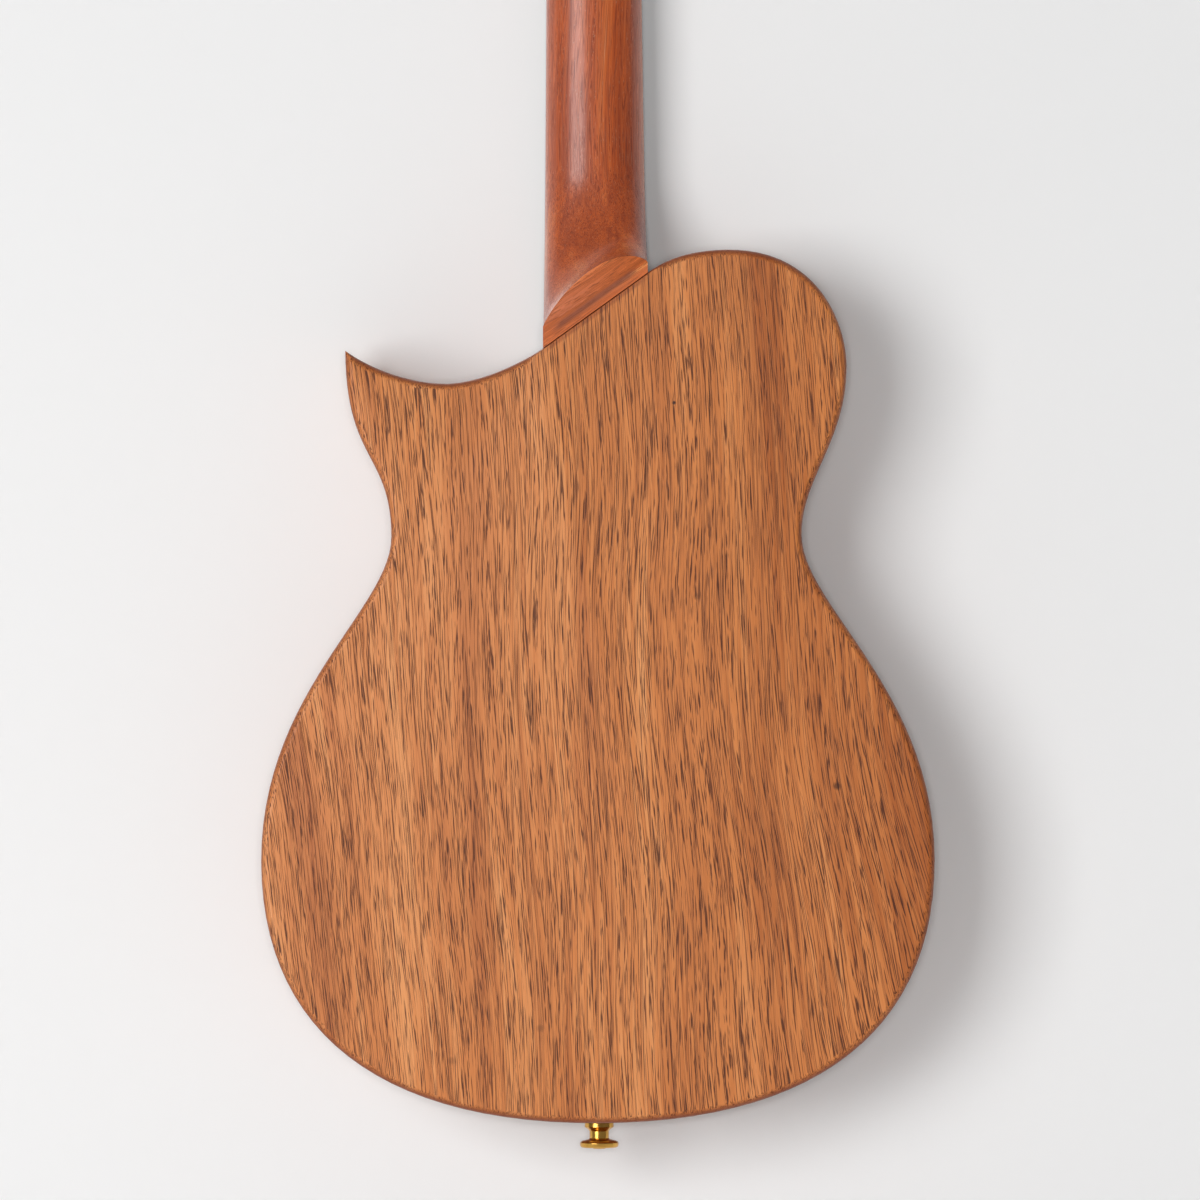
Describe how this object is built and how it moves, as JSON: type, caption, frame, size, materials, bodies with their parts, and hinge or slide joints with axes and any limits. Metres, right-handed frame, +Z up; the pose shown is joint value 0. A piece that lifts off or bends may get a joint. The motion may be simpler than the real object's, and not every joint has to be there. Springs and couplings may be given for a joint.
{
  "type": "baritone ukulele",
  "caption": "Cutaway baritone ukulele: carved hollow body, set neck with slanted heel, angled headstock with open worm tuners, slotted bridge and tail strap button.",
  "frame": {"origin": "on the centreline at the nut's front edge, on the plane that the fretboard is glued to, where a hanger's yoke carries the instrument under its headstock", "axes": "+Z up the neck to the headstock, -Y out of the strings' side, +Y out of the back, +X to the treble side with the cutaway"},
  "size_m": [0.2696, 0.06, 0.7732],
  "materials": {
    "satin_mahogany": "satin",
    "neck_mahogany": "semi-gloss",
    "brace_spruce": "bare",
    "rosewood": "oiled",
    "bone": "polished",
    "nickel_silver": "polished",
    "gold_plate": "polished",
    "zinc_steel": "zinc plated",
    "pearl_plastic": "gloss",
    "clear_nylon": "gloss",
    "wound_string": "wound"
  },
  "bodies": {
    "root": {"body": "satin_mahogany", "soundboard": "satin_mahogany", "upper_brace": "brace_spruce", "lower_brace": "brace_spruce", "fan_brace_bass": "brace_spruce", "fan_brace_treble": "brace_spruce", "bridge_plate": "brace_spruce", "neck": "neck_mahogany", "heel_cap": "satin_mahogany", "neck_rod": "zinc_steel", "headstock_veneer": "rosewood", "fretboard": "rosewood", "nut": "bone", "bridge": "rosewood", "saddle": "bone", "strap_button": "gold_plate", "strap_button_screw": "gold_plate", "fret_01": "nickel_silver", "fret_02": "nickel_silver", "fret_03": "nickel_silver", "fret_04": "nickel_silver", "fret_05": "nickel_silver", "fret_06": "nickel_silver", "fret_07": "nickel_silver", "fret_08": "nickel_silver", "fret_09": "nickel_silver", "fret_10": "nickel_silver", "fret_11": "nickel_silver", "fret_12": "nickel_silver", "fret_13": "nickel_silver", "fret_14": "nickel_silver", "fret_15": "nickel_silver", "fret_16": "nickel_silver", "fret_17": "nickel_silver", "fret_18": "nickel_silver", "fret_19": "nickel_silver", "string_d4": "wound_string", "string_g3": "clear_nylon", "string_b2": "clear_nylon", "string_e1": "clear_nylon", "tuner_plate_d4": "gold_plate", "tuner_bushing_d4": "gold_plate", "tuner_plate_g3": "gold_plate", "tuner_bushing_g3": "gold_plate", "tuner_plate_b2": "gold_plate", "tuner_bushing_b2": "gold_plate", "tuner_plate_e1": "gold_plate", "tuner_bushing_e1": "gold_plate"},
    "knob_d4": {"tuner_worm_d4": "gold_plate", "tuner_button_d4": "pearl_plastic"},
    "post_d4": {"tuner_post_d4": "gold_plate"},
    "knob_g3": {"tuner_worm_g3": "gold_plate", "tuner_button_g3": "pearl_plastic"},
    "post_g3": {"tuner_post_g3": "gold_plate"},
    "knob_b2": {"tuner_worm_b2": "gold_plate", "tuner_button_b2": "pearl_plastic"},
    "post_b2": {"tuner_post_b2": "gold_plate"},
    "knob_e1": {"tuner_worm_e1": "gold_plate", "tuner_button_e1": "pearl_plastic"},
    "post_e1": {"tuner_post_e1": "gold_plate"}
  },
  "joints": [
    {"name": "knob_d4_turn", "type": "hinge", "parent": "root", "child": "knob_d4", "pos_m": [-0.017, 0.02719, 0.04425], "axis": [1, 0, 0], "continuous": true},
    {"name": "post_d4_turn", "type": "hinge", "parent": "root", "child": "post_d4", "pos_m": [-0.017, 0.01081, 0.05616], "axis": [0, -0.9781, 0.2079], "continuous": true},
    {"name": "knob_g3_turn", "type": "hinge", "parent": "root", "child": "knob_g3", "pos_m": [-0.017, 0.03717, 0.0912], "axis": [1, 0, 0], "continuous": true},
    {"name": "post_g3_turn", "type": "hinge", "parent": "root", "child": "post_g3", "pos_m": [-0.017, 0.02079, 0.10311], "axis": [0, -0.9781, 0.2079], "continuous": true},
    {"name": "knob_b2_turn", "type": "hinge", "parent": "root", "child": "knob_b2", "pos_m": [0.017, 0.03717, 0.0912], "axis": [1, 0, 0], "continuous": true},
    {"name": "post_b2_turn", "type": "hinge", "parent": "root", "child": "post_b2", "pos_m": [0.017, 0.02079, 0.10311], "axis": [0, -0.9781, 0.2079], "continuous": true},
    {"name": "knob_e1_turn", "type": "hinge", "parent": "root", "child": "knob_e1", "pos_m": [0.017, 0.02719, 0.04425], "axis": [1, 0, 0], "continuous": true},
    {"name": "post_e1_turn", "type": "hinge", "parent": "root", "child": "post_e1", "pos_m": [0.017, 0.01081, 0.05616], "axis": [0, -0.9781, 0.2079], "continuous": true}
  ],
  "couplings": [
    {"joint": "post_d4_turn", "follows": "knob_d4_turn", "ratio": -0.071429},
    {"joint": "post_g3_turn", "follows": "knob_g3_turn", "ratio": -0.071429},
    {"joint": "post_b2_turn", "follows": "knob_b2_turn", "ratio": -0.071429},
    {"joint": "post_e1_turn", "follows": "knob_e1_turn", "ratio": -0.071429}
  ]
}
